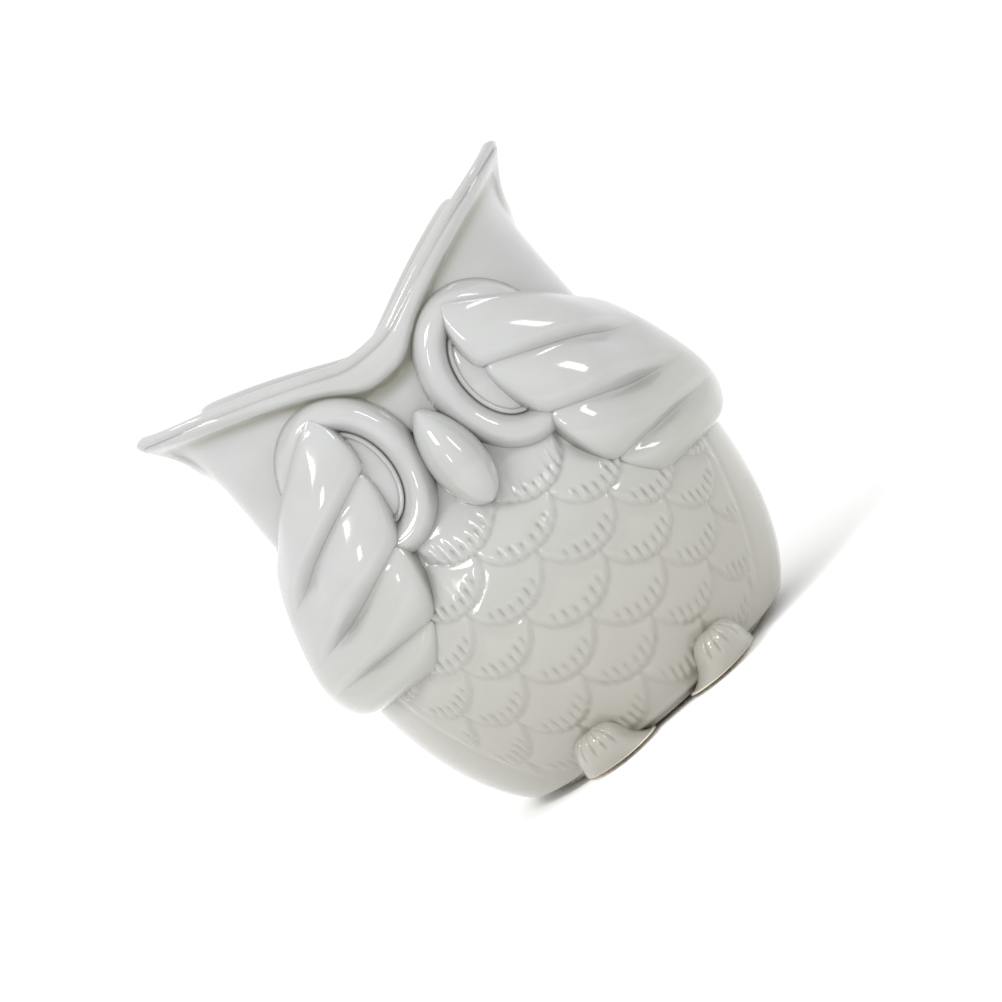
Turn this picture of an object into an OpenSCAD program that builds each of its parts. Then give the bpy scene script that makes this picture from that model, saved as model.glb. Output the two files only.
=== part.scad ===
// Glazed ceramic owl with its wings folded up over its eyes.
// The owl looks along -Y and stands on the plane z = 0, with +X at the viewer's right.
// Every applied piece is placed on the skin of the hollow body by one rule: a point is named by its
// sideways place x, its height z and how far it stands off the skin, h.

/* [Body] */
// Height of the front ear tips above the table
total_h = 100; // [80:1:125]
// Height at which the belly is widest
belly_z = 36; // [30:1:44]
// Full width at the belly
belly_w = 82.2; // [66:0.2:100]
// Belly depth in front of the middle axis
belly_front = 34.5; // [30:0.5:42]
// Belly depth behind the middle axis
belly_back = 38.6; // [32:0.1:46]
// Radius of the foot ring that the body stands on
base_r = 27.5; // [22:0.5:33]
// Wall of the hollow casting
wall = 3.5; // [2:0.1:4.5]

/* [Head] */
// Full width of the head below the ears
head_w = 72.2; // [60:0.2:87]
// Depth of the face in front of the middle axis
face_front = 28.5; // [24:0.5:34]
// Depth of the head behind the middle axis
head_back = 31; // [25:0.5:37]
// How square the face is in plan, 2 is round
face_square = 2.7; // [2:0.1:3.2]
// Drop from the front ear tips to the notch between them
ear_rise = 14.2; // [10:0.1:17]
// Drop from the front ear tips to the sides of the rim
side_drop = 12.5; // [9:0.5:15]
// Drop from the front ear tips to the rear ones
rear_drop = 3; // [0:0.5:4]
// Sideways flare of the ears beyond the head
ear_flare = 10.5; // [6:0.1:12.5]
// Height over which the head flares into the ears
flare_h = 20; // [14:1:24]
// Half the thickness of the rounded rim
lip_r = 1.9; // [1.5:0.1:2.3]
// Height of the raised band under the rim
band_h = 2.8; // [2:0.1:3.5]
// How far the band stands off the face
band_t = 0.8; // [0.4:0.1:1]
// Depth of the scoop in the crown, below the notch
scoop_h = 7; // [4:0.5:9]

/* [Eyes and beak] */
// Drop from the ear tips to the top of the eye rings
eye_drop = 14.7; // [12:0.1:20]
// Full height of an eye ring
eye_h = 32.4; // [27:0.2:34]
// Plain cheek between an eye ring and the side of the head
cheek = 6.9; // [5:0.1:9]
// Gap between the two eye rings
bridge = 6.4; // [5:0.1:8]
// Width of the roll of an eye ring
ring_w = 5.8; // [4:0.1:6.4]
// How far an eye ring stands off the face
ring_t = 3.2; // [2.4:0.1:4]
// How far the domed eye stands off the face
eye_t = 2.4; // [1.5:0.1:3]
// Width of the beak
beak_w = 10.6; // [8:0.1:12]
// Height of the beak
beak_h = 20.8; // [17:0.1:24]
// How far the beak's ridge stands off the face
beak_t = 8; // [6:0.1:9]

/* [Wings] */
// Thickness of a wing where it lies on the body
wing_t = 5.8; // [4.8:0.1:7]
// How far round from the front a wing's root lies, in degrees
wing_root = 126; // [112:1:140]
// Depth of the creases between the feathers, as a share of the thickness
crease = 0.45; // [0.2:0.05:0.6]

/* [Feet and base] */
// Distance between the middles of the feet
foot_gap = 24; // [20:0.5:28]
// Width of a foot
foot_w = 15.6; // [12:0.2:18]
// Height of a foot
foot_h = 8.4; // [7:0.1:10]
// How far a foot stands off the body
foot_t = 7; // [5.5:0.1:8.5]
// Diameter of the vent hole in the base
vent_d = 8; // [6:0.5:12]
// Width of the flat foot ring
ring_land = 9.5; // [9:0.5:11]
// Depth of the recess inside the foot ring
recess = 1.2; // [0.8:0.1:2]
// Diameter of a felt pad
pad_d = 7.5; // [6:0.5:8.5]
// Thickness of a felt pad
pad_t = 0.8; // [0.6:0.1:1.5]

/* [Fit] */
// Glaze joint between an applied piece and what it sits on
joint = 0.2; // [0.15:0.05:0.4]

/* [Hidden] */
glaze = [0.93, 0.93, 0.91];
felt = [0.42, 0.40, 0.38];
around = 72;                               // points round the body
notch_z = total_h - ear_rise;              // bottom of the front notch
side_z = total_h - side_drop;              // lowest point of the rim at the sides
rear_z = total_h - rear_drop;              // rear ear tips
rear_notch_z = notch_z - 1.5;              // bottom of the rear notch
flare_z = total_h - flare_h;               // where the ears start to flare
eye_z = total_h - eye_drop - eye_h/2;      // middle of the eyes
neck_z = eye_z - 2;                        // the head has its full shape from here up
foot_z = pad_t;                            // underside of the foot ring
eye_w = head_w/2 - cheek - bridge/2;       // full width of an eye ring
eye_x = bridge/2 + eye_w/2;                // middle of an eye
ear_a = 70;                                // the front ear tips, degrees from the front
side_a = 110;                              // the low point of the rim
rear_a = 129;                              // the rear ear tips
over_ring = ring_t + 2*joint;              // what lies over an eye ring stands this far off
feather_edge = 0.5;                        // thickness of a wing at its very edge

function lerp(a, b, t) = a + (b - a)*t;
function unit(t) = min(max(t, 0), 1);
function smooth(t) = let(u = unit(t)) u*u*(3 - 2*u);
function power(v, n) = pow(max(v, 0), n);
function turn(p) = let(q = abs(p) % 360) q > 180 ? 360 - q : q;

// ---- The skin of the body ----
// Swell from the foot ring to the belly, 0 to 1, and from the belly up to the head
function swell(z) = power(1 - pow(1 - unit((z - foot_z)/(belly_z - foot_z)), 2), 2/3);
function rise(z) = smooth((z - belly_z - 2)/(neck_z - belly_z - 2));
function flare(z) = ear_flare*power((z - flare_z)/flare_h, 3);
function reach(z, belly, head) =
    z < belly_z ? lerp(base_r, belly, swell(z)) : lerp(belly, head, rise(z)) + flare(z);
function half_w(z) = reach(z, belly_w/2, head_w/2);
function front_d(z) = reach(z, belly_front, face_front);
function back_d(z) = reach(z, belly_back, head_back);
function square(z) = lerp(2.1, face_square, smooth((z - belly_z - 12)/18));

// A point on the skin, p degrees round from the front, standing h off it
function skin(p, z, h) =
    let(q = turn(p), side = sin(p) < 0 ? -1 : 1, n = q < 90 ? square(z) : 2.1,
        d = q < 90 ? -front_d(z) - h : back_d(z) + h)
    [side*(half_w(z) + h)*power(sin(q), 2/n), d*power(abs(cos(q)), 2/n), z];

// The same by its sideways place x, on the front
function face(x, z, h) =
    let(n = square(z))
    [x, -(front_d(z) + h)*power(1 - power(abs(x)/(half_w(z) + h), n), 1/n), z];

// Degrees round from the front of the place x
function angle_of(x, z, h) = asin(unit(power(x/(half_w(z) + h), square(z)/2)));

// Height of the rim: a notch between two ears, in front and behind, and a dip at each side
function across(p, n) = power(sin(p), 2/n);
function notch(f) = (sqrt(f*f + 0.004) - 0.063)/0.939;
function rim_z(p) =
    let(q = turn(p))
    q <= ear_a ? lerp(notch_z, total_h, notch(across(q, face_square)/across(ear_a, face_square)))
    : q <= side_a ? lerp(side_z, total_h, power((side_a - q)/(side_a - ear_a), 2.2))
    : q <= rear_a ? lerp(side_z, rear_z, power((q - side_a)/(rear_a - side_a), 2))
    : lerp(rear_notch_z, rear_z, notch(across(q, 2.1)/across(rear_a, 2.1)));

// ---- Closed solids from rings of points ----
function middle(ring) = [for (i = [0:2]) [for (q = ring) q[i]] * [for (q = ring) 1/len(ring)]];
function quads(rows, n) = [for (j = [0:rows - 2], i = [0:n - 1]) let(k = (i + 1) % n)
    each [[j*n + i, j*n + k, (j + 1)*n + k], [j*n + i, (j + 1)*n + k, (j + 1)*n + i]]];

// A pile of rings closed at each end by a fan to its middle. The rings run anticlockwise as seen
// from the last one, looking back at the first.
module pile(rings) {
    n = len(rings[0]);
    rows = len(rings);
    last = (rows - 1)*n;
    points = [for (r = rings) each r, middle(rings[0]), middle(rings[rows - 1])];
    polyhedron(points, [each quads(rows, n),
        for (i = [0:n - 1]) [rows*n, (i + 1) % n, i],
        for (i = [0:n - 1]) [rows*n + 1, last + i, last + (i + 1) % n]]);
}

// A solid between two sheets of points, closed round their border
module sheet(top, bottom) {
    n = len(top[0]);
    rows = len(top);
    all = rows*n;
    border = [each [0:n - 1], for (j = [1:rows - 1]) j*n + n - 1,
        for (i = [n - 2:-1:0]) (rows - 1)*n + i, for (j = [rows - 2:-1:1]) j*n];
    polyhedron([for (r = top) each r, for (r = bottom) each r], [
        for (j = [0:rows - 2], i = [0:n - 2]) let(a = j*n + i, b = a + 1, c = b + n, d = a + n)
            each [[a, c, b], [a, d, c], [all + a, all + b, all + c], [all + a, all + c, all + d]],
        for (i = [0:len(border) - 1]) let(a = border[i], b = border[(i + 1) % len(border)])
            each [[a, b, all + b], [a, all + b, all + a]]]);
}

// Rings that close on themselves, like a tyre
module loop(rings) {
    polyhedron([for (r = rings) each r, each rings[0]], quads(len(rings) + 1, len(rings[0])));
}

// ---- Body ----
function round_body(z, h) = [for (i = [0:around - 1]) skin(i*360/around, z, h)];
function band(d) = band_t*smooth(d/0.7)*smooth((band_h + 1 - d)/1.6);
function wall_ring(f) = [for (i = [0:around - 1])
    let(p = i*360/around, top = rim_z(p) - lip_r, z = lerp(foot_z + 1.5, top, f))
    skin(p, z, band(top - z))];
function lip_ring(a) = [for (i = [0:around - 1])
    let(p = i*360/around) skin(p, rim_z(p) - lip_r + lip_r*sin(a), lip_r*(cos(a) - 1))];
function bowl_ring(f, drop, inset) = [for (i = [0:around - 1])
    let(p = i*360/around, edge = skin(p, rim_z(p) - lip_r, -2*lip_r - inset),
        floor_z = notch_z - scoop_h)
    [edge[0]*(1 - f), edge[1]*(1 - f), lerp(floor_z, edge[2], pow(1 - f, 1.5)) - drop]];
function flat_ring(r, z) = [for (i = [0:around - 1]) r*[sin(i*360/around), -cos(i*360/around), 0] + [0, 0, z]];

// Heights of the cavity's wall, from its floor to just under the rim
cavity_floor = foot_z + recess + wall;
function cavity_ring(f) = [for (i = [0:around - 1])
    let(p = i*360/around, top = rim_z(p) - lip_r - 2.4*wall)
    skin(p, lerp(cavity_floor + 2.5, top, f), -wall)];

module body_casting() {
    land = base_r - 1.5;
    color(glaze) pile([
        for (f = [0.98, 0.8, 0.6, 0.4, 0.2, 0.08]) bowl_ring(f, 0, 0),
        for (a = [180:-45:0]) lip_ring(a),
        for (f = [0.985, 0.97, 0.955, 0.94, each [0.9:-0.06:0.02]]) wall_ring(f),
        wall_ring(0),
        flat_ring(base_r - 0.4, foot_z + 0.5),
        flat_ring(land, foot_z),
        flat_ring(land + 1 - ring_land, foot_z),
        flat_ring(land + 0.4 - ring_land, foot_z + recess),
        flat_ring(vent_d/2, foot_z + recess),
        flat_ring(vent_d/2, cavity_floor),
        flat_ring(base_r - wall - 2, cavity_floor),
        for (f = [0:0.1:1]) cavity_ring(f),
        for (f = [0.2, 0.5, 0.8, 0.97]) bowl_ring(f, wall, wall)
    ]);
}

// ---- Eyes ----
// A point at angle t on an ellipse that is e wider all round than the middle of the ring's roll
roll_x = eye_w/2 - ring_w/2;
roll_z = eye_h/2 - ring_w/2;
function oval(side, t, e) = [side*eye_x + (roll_x + e)*cos(t), eye_z + (roll_z + e)*sin(t)];
function on_face(q, h) = face(q[0], q[1], h);

module eye_ring(side) {
    color(glaze) loop([for (t = [0:10:350]) [
        for (a = [0:22.5:180]) on_face(oval(side, t, ring_w/2*cos(a)), joint + ring_t*sin(a)),
        for (e = [-0.5, 0, 0.5]) on_face(oval(side, t, e*ring_w/2), joint)]]);
}

module eye(side) {
    rim = ring_w/2 + joint;
    function shrunk(t, f, h) = on_face([side*eye_x + f*(roll_x - rim)*cos(t), eye_z + f*(roll_z - rim)*sin(t)], h);
    color(glaze) pile([
        [for (t = [0:10:350]) shrunk(t, 0.1, joint + eye_t)],
        for (a = [75:-15:0]) [for (t = [0:10:350]) shrunk(t, cos(a), joint + eye_t*sin(a + 8))],
        for (f = [0.55, 0.1]) [for (t = [0:10:350]) shrunk(t, f, joint)]
    ]);
}

// ---- What lies over the eye rings ----
// 1 over an eye ring and 0 well clear of it
function on_ring(x, z, fade) =
    let(r = norm([(abs(x) - eye_x)/(eye_w/2), (z - eye_z)/(eye_h/2)])) smooth((1.14 + fade - r)/fade);
function under(x, z, fade) = joint + (over_ring - joint)*on_ring(x, z, fade);

// ---- Beak ----
// Half the beak's width at f of the way up, pointed below and round above
function beak_half(f) = beak_w/2*power(sin(180*pow(f, 0.78)), 0.62);
beak_low = eye_z - eye_h/2 - 1.8;

module beak() {
    function ridge(u, f) = power(1 - pow(abs(u), 1.6), 0.6)*power(sin(180*pow(f, 0.85)), 0.5);
    color(glaze) pile([for (f = [0.995, 0.98, 0.94, 0.88, each [0.8:-0.1:0.1], 0.04, 0.01])
        let(z = beak_low + f*beak_h, w = beak_half(f)) [
        for (u = [-1:0.2:1]) face(u*w, z, over_ring + 0.3 + (beak_t - over_ring - 0.3)*ridge(u, f)),
        for (u = [1:-0.4:-1]) face(u*w, z, under(u*w, z, 0.18))]]);
}

// ---- Wings ----
// Heights on a wing: 0 at the belly's widest and 1 at the middle of the eyes
function up(f) = lerp(belly_z, eye_z, f);
// The ends of the feathers, lowest first, as eye half-widths out from the middle of the eye and heights
tips = [[1.28, -0.05], [0.72, 0.18], [0.26, 0.61], [-0.02, 1.03], [0.14, 1.43]];
// Heights of the same lines at the wing's root, and how late each line climbs to its tip
roots = [-0.11, 0.12, 0.3, 0.54, 0.85];
climbs = [1, 1, 3, 2.1, 2.1];
// How far each feather's round end stands past the line between its corners
bulge = [0.08, 0.2, 0.15, 0.2];
feathers = len(tips) - 1;

// Place of the line t at s of the way from the root to the tips: [degrees round, height]
function tip_at(t) =
    let(k = min(floor(t*feathers), feathers - 1), u = t*feathers - k, a = tips[k], b = tips[k + 1],
        out = bulge[k]*power(1 - pow(2*u - 1, 2), 0.5))
    [eye_x + eye_w/2*(lerp(a[0], b[0], u) - out), up(lerp(a[1], b[1], u) - 0.12*out)];
function along(list, t) = let(k = min(floor(t*feathers), feathers - 1)) lerp(list[k], list[k + 1], t*feathers - k);
function wing_place(s, t) =
    let(q = tip_at(t), p = angle_of(q[0], q[1], wing_t + over_ring), root = wing_root - 24*pow(2*t - 1, 2))
    [lerp(root, p, s), lerp(up(along(roots, t)), q[1], pow(s, along(climbs, t)))];
function wing_thick(s, t) =
    let(w = abs(2*((t*feathers) % 1) - 1), outer = t < 0.5/feathers || t > 1 - 0.5/feathers,
        deep = crease*smooth((s - 0.3)/0.45), feather = outer ? 1 : 1 - deep*(1 - power(1 - w*w, 0.5)),
        edge = power(1 - pow(abs(2*t - 1), lerp(2.2, 5, s)), 0.5),
        root = smooth(s/0.45), end = power(1 - pow(unit((s - 0.86)/0.14), 2), 0.5))
    wing_t*feather*edge*root*end;

module wing(side) {
    function at(s, t, top) =
        let(q = wing_place(s, t), p = q[0], z = q[1], x = skin(p, z, wing_t)[0],
            low = p < 90 ? under(x, z, 0.5) : joint)
        skin(side*p, z, low + (top ? feather_edge + wing_thick(s, t) : 0));
    steps = [0.01, 0.05, 0.1, each [0.15:0.05:0.85], 0.88, 0.91, 0.94, 0.97, 0.985, 1];
    across = side > 0 ? [0:24] : [24:-1:0];
    color(glaze) sheet([for (s = steps) [for (i = across) at(s, i/24, true)]],
        [for (s = steps) [for (i = across) at(s, i/24, false)]]);
}

// ---- Feet ----
module foot(side) {
    toes = 4;
    function toe(u) = 0.86 + 0.14*power(abs(sin(90*toes*(u + 1))), 0.5);
    color(glaze) pile([for (a = [86, each [81:-9:0]])
        let(z = foot_z + (foot_h - foot_z)*sin(a), w = foot_w/2*power(cos(a), 0.8)) [
        for (u = [-1:0.1:1]) face(side*foot_gap/2 + u*w, z,
            joint + foot_t*power(cos(a), 0.7)*toe(u)*power(1 - u*u, 0.5) + 0.1),
        for (u = [1:-0.25:-1]) face(side*foot_gap/2 + u*w, z, joint)]]);
}

// ---- Felt pads ----
module felt_pad(side, back) {
    r = (base_r - 1.5 - (ring_land - 1)/2)/sqrt(2);
    color(felt) translate([side*r, back*r, 0]) cylinder(h = pad_t, d = pad_d, $fn = 48);
}

body_casting();
wing(-1);  // left_wing
wing(1);  // right_wing
eye_ring(-1);  // left_eye_ring
eye_ring(1);  // right_eye_ring
eye(-1);  // left_eye
eye(1);  // right_eye
beak();
foot(-1);  // left_foot
foot(1);  // right_foot
felt_pad(-1, -1);  // felt_pad_front_left
felt_pad(1, -1);  // felt_pad_front_right
felt_pad(-1, 1);  // felt_pad_rear_left
felt_pad(1, 1);  // felt_pad_rear_right
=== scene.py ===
"""Glazed ceramic owl with its wings folded up over its eyes: the visual model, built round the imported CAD.

The settings hold lengths in metres. The shape functions work in millimetres and degrees, and a mesh is put
into metres when it is made.
The owl looks along -Y and stands on z = 0, with +X at the viewer's right.
Every applied piece is laid on one skin: a point is named by its sideways place x or its angle p round from
the front, by its height z, and by h, how far it stands off the skin.
"""

import math
from types import SimpleNamespace

import bpy
import numpy as np
from bpy.props import FloatProperty, FloatVectorProperty, IntProperty, PointerProperty
from mathutils import Matrix, Vector


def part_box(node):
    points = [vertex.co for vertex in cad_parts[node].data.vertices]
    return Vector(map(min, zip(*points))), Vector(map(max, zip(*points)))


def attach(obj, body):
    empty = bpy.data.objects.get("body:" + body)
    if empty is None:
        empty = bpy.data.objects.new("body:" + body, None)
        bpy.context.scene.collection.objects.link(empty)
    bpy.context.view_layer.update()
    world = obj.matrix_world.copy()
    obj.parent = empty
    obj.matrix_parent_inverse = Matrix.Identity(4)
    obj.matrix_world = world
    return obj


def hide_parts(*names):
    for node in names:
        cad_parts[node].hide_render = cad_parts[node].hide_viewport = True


bl_info = {
    "name": "Ceramic Owl",
    "version": (1, 0, 0),
    "blender": (4, 5, 0),
    "location": "View3D > Sidebar > Ceramic Owl",
    "description": "Builds a glazed ceramic owl round its CAD frame",
    "category": "Object",
}

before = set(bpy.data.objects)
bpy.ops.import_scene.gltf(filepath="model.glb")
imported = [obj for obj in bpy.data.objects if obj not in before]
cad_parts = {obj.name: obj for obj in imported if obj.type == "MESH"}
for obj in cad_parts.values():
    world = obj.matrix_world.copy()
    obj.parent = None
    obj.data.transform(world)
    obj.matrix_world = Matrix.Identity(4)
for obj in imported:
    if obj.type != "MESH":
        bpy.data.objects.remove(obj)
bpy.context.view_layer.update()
MM = 0.001
LEFT, RIGHT = -1, 1


def node_box(node):
    """Lowest and highest corner of a CAD node, in millimetres."""
    low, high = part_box(node)
    return np.array(low) / MM, np.array(high) / MM


CASTING = node_box("body_casting")
EYE_RING = node_box("right_eye_ring")
EYE = node_box("right_eye")
BEAK = node_box("beak")
FOOT = node_box("right_foot")


# ---- Settings -----------------------------------------------------------------------------------


def length(name, default_mm, text):
    """A size, given in millimetres and held in metres."""
    return FloatProperty(
        name=name, description=text, default=default_mm * MM, soft_min=0.0, precision=4, unit="LENGTH"
    )


def degrees(name, default_deg, text):
    """An angle, given in degrees and held in radians."""
    return FloatProperty(name=name, description=text, default=math.radians(default_deg), subtype="ANGLE")


def tint(name, default, text):
    """A colour given as an sRGB hex value."""
    return FloatVectorProperty(name=name, description=text, default=linear(default), size=3, subtype="COLOR")


def linear(hex_value):
    """Turns an sRGB hex value such as 0xE8E4DC into linear red, green and blue."""
    parts = [((hex_value >> shift) & 255) / 255 for shift in (16, 8, 0)]
    return tuple(c / 12.92 if c <= 0.04045 else ((c + 0.055) / 1.055) ** 2.4 for c in parts)


def in_mm(group):
    """A group's settings by name, with its lengths in millimetres."""
    read = {}
    for key in group.__annotations__:
        is_length = group.bl_rna.properties[key].unit == "LENGTH"
        read[key] = getattr(group, key) / MM if is_length else getattr(group, key)
    return SimpleNamespace(**read)


class OwlBodySizes(bpy.types.PropertyGroup):
    """Sizes of the hollow casting."""

    total_h: length("Ear tips", float(CASTING[1][2]), "Height of the front ear tips")
    front: length("Belly front", float(-CASTING[0][1]), "Belly depth in front of the middle axis")
    back: length("Belly back", float(CASTING[1][1]), "Belly depth behind the middle axis")
    foot_z: length("Foot ring", float(CASTING[0][2]), "Height of the underside of the foot ring")
    belly_z: length("Belly height", 36.0, "Height at which the belly is widest")
    belly_half: length("Belly half width", 41.1, "Half the width of the belly")
    base_r: length("Base radius", 27.5, "Radius of the foot ring")
    head_half: length("Head half width", 36.1, "Half the width of the head below the ears")
    face_front: length("Face depth", 28.5, "Depth of the face in front of the middle axis")
    head_back: length("Head back", 31.0, "Depth of the head behind the middle axis")
    face_square: length("Face squareness", 2.7, "Exponent of the face's plan, 2 is round")
    ear_rise: length("Ear rise", 14.2, "Drop from the ear tips to the front notch")
    side_drop: length("Side drop", 12.5, "Drop from the ear tips to the rim's sides")
    rear_drop: length("Rear drop", 3.0, "Drop from the front ear tips to the rear ones")
    flare: length("Ear flare", 11.6, "Sideways flare of the ears")
    flare_h: length("Flare height", 20.0, "Height over which the head flares")
    tip_r: length("Ear tip radius", 3.0, "Radius of an ear's blunt end")
    lip_r: length("Lip radius", 1.9, "Half the thickness of the rim")
    band_h: length("Band height", 2.4, "Height of the raised band under the rim")
    band_t: length("Band relief", 1.0, "How far the band stands off the face")
    scoop_h: length("Scoop depth", 7.0, "Depth of the crown's scoop below the notch")
    wall: length("Wall", 3.5, "Wall of the casting")
    vent_d: length("Vent", 8.0, "Diameter of the vent hole")
    ring_land: length("Foot ring width", 9.5, "Width of the flat foot ring")
    recess: length("Recess", 1.2, "Depth of the recess inside the foot ring")


class OwlFeatherSizes(bpy.types.PropertyGroup):
    """Sizes of the carved breast feathers."""

    pitch: degrees("Pitch", 22.8, "Turn round the body from one feather to the next")
    row_h: length("Row height", 7.15, "Height from one row to the next")
    first_z: length("First row", 46.3, "Height of the lowest points of the top row")
    relief: length("Relief", 0.95, "How far a feather's end stands off the breast")
    notch_gap: length("Notch spacing", 1.9, "Spacing of the comb-cut notches")
    notch_len: length("Notch length", 3.7, "Length of a notch")
    notch_deep: length("Notch depth", 0.62, "Depth of a notch")
    rows: IntProperty(name="Rows", description="Rows of feathers", default=7, min=1)


class OwlColours(bpy.types.PropertyGroup):
    """Colours of the finishes."""

    glaze: tint("Glaze", 0xA7A8A7, "White tin glaze")
    # Darker colour for creases and joins between parts: partly pooled glaze, partly painted shade
    pooled_glaze_and_crease_shade: tint("Pooled glaze", 0x7F7E73, "Glaze where it has run thick into a crease")
    # Painted shade towards the bottom of the body; the same colour also tints the random clouds in the glaze
    low_shade_and_cloud_tint: tint("Warm glaze", 0x99978E, "Glaze low on the body, a shade warmer")
    bisque: tint("Bisque", 0xDDD3C2, "Unglazed clay of the foot ring")
    speck: tint("Specks", 0x6E675C, "Iron specks and pinholes")
    felt: tint("Felt", 0x6B6660, "Pressed wool felt")
    floor: tint("Floor", 0xFCFCFC, "Pale sweep")


class OwlStageSizes(bpy.types.PropertyGroup):
    """Camera and light."""

    view_w: length("View width", 185.4, "Width of the view at the middle of the owl")
    distance: length("Distance", 800.0, "Distance from the camera to the middle of the owl")
    elevation: degrees("Elevation", 4.5, "Camera above the horizon")
    roll: degrees("Roll", 40.7, "Camera turned clockwise about its line of sight")
    aim_x: length("Aim sideways", 1.1, "Where the camera points, sideways")
    aim_z: length("Aim height", 47.5, "Where the camera points, upwards")


# ---- Small tools --------------------------------------------------------------------------------


def unit(t):
    """Holds t between 0 and 1."""
    return np.clip(t, 0.0, 1.0)


def smooth(t):
    """Eases from 0 to 1 with level ends: 3 t squared less 2 t cubed."""
    t = unit(t)
    return t * t * (3 - 2 * t)


def lerp(a, b, t):
    """Goes straight from a to b."""
    return a + (b - a) * t


def power(v, n):
    """v to the power n, with v held at 0 or more."""
    return np.maximum(v, 0.0) ** n


def dome(t):
    """A round hump over -1 to 1: the root of 1 less t squared."""
    return np.sqrt(np.maximum(1 - t * t, 0.0))


# ---- The skin -----------------------------------------------------------------------------------


class Skin:
    """The body's outer surface, close to the CAD casting's, with ears that flare further and end bluntly.

    In plan it is a superellipse whose half width and depths are functions of the height: they swell from the
    foot ring to the belly as the 2/3 power of a parabola, ease in to the head, and flare with a cube at the
    ears.
    """

    def __init__(self, s):
        self.s = s
        self.ear, self.side, self.rear = 70.0, 110.0, 129.0
        self.notch_z = s.total_h - s.ear_rise
        self.side_z = s.total_h - s.side_drop
        self.rear_z = s.total_h - s.rear_drop
        self.rear_notch_z = self.notch_z - 1.5
        self.flare_z = s.total_h - s.flare_h
        self.eye_z = (EYE_RING[0][2] + EYE_RING[1][2]) / 2
        self.neck_z = self.eye_z - 2

    def reach(self, z, belly, head):
        s = self.s
        swell = power(1 - (1 - unit((z - s.foot_z) / (s.belly_z - s.foot_z))) ** 2, 2 / 3)
        ease = smooth((z - s.belly_z - 2) / (self.neck_z - s.belly_z - 2))
        flare = s.flare * power((z - self.flare_z) / s.flare_h, 3)
        return np.where(z < s.belly_z, lerp(s.base_r, belly, swell), lerp(belly, head, ease) + flare)

    def half(self, z):
        """The half width, turned in over the last few millimetres, so an ear ends bluntly."""
        s = self.s
        turned = s.tip_r * (1 - dome(unit((z - s.total_h + s.tip_r) / s.tip_r)))
        return self.reach(z, s.belly_half, s.head_half) - turned

    def front(self, z):
        return self.reach(z, self.s.front, self.s.face_front)

    def back(self, z):
        return self.reach(z, self.s.back, self.s.head_back)

    def square(self, z):
        return lerp(2.1, self.s.face_square, smooth((z - self.s.belly_z - 12) / 18))

    def at(self, p, z, h):
        """The point p degrees round from the front, at height z, h off the skin."""
        p, z, h = np.broadcast_arrays(np.asarray(p, float), z, h)
        a = np.radians(p)
        in_front = np.cos(a) >= 0
        n = np.where(in_front, self.square(z), 2.1)
        depth = np.where(in_front, -self.front(z) - h, self.back(z) + h)
        x = np.sign(np.sin(a)) * (self.half(z) + h) * np.abs(np.sin(a)) ** (2 / n)
        y = depth * np.abs(np.cos(a)) ** (2 / n)
        return np.stack([x, y, z], axis=-1)

    def face(self, x, z, h):
        """The point on the front whose sideways place is x."""
        x, z, h = np.broadcast_arrays(np.asarray(x, float), z, h)
        n = self.square(z)
        y = -(self.front(z) + h) * power(1 - power(np.abs(x) / (self.half(z) + h), n), 1 / n)
        return np.stack([x, y, z], axis=-1)

    def angle(self, x, z, h):
        """Degrees round from the front of the sideways place x."""
        return np.degrees(np.arcsin(unit(power(x / (self.half(z) + h), self.square(z) / 2))))

    def rim(self, p):
        """Height of the rim: a notch before and behind, a dip at each side, and four ear points between."""
        s = self.s
        q = np.abs((p + 180) % 360 - 180)

        def across(a, n):
            return power(np.sin(np.radians(a)), 2 / n)

        def notch(f):
            """A V from 0 to 1 with a rounded bottom."""
            return (np.sqrt(f * f + 0.004) - 0.063) / 0.939

        ear, side, rear = self.ear, self.side, self.rear
        front = lerp(self.notch_z, s.total_h, notch(across(q, s.face_square) / across(ear, s.face_square)))
        fall = lerp(self.side_z, s.total_h, power((side - q) / (side - ear), 2.2))
        climb = lerp(self.side_z, self.rear_z, power((q - side) / (rear - side), 2))
        behind = lerp(self.rear_notch_z, self.rear_z, notch(across(q, 2.1) / across(rear, 2.1)))
        return np.select([q <= ear, q <= side, q <= rear], [front, fall, climb], behind)


# ---- Meshes -------------------------------------------------------------------------------------


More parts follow.
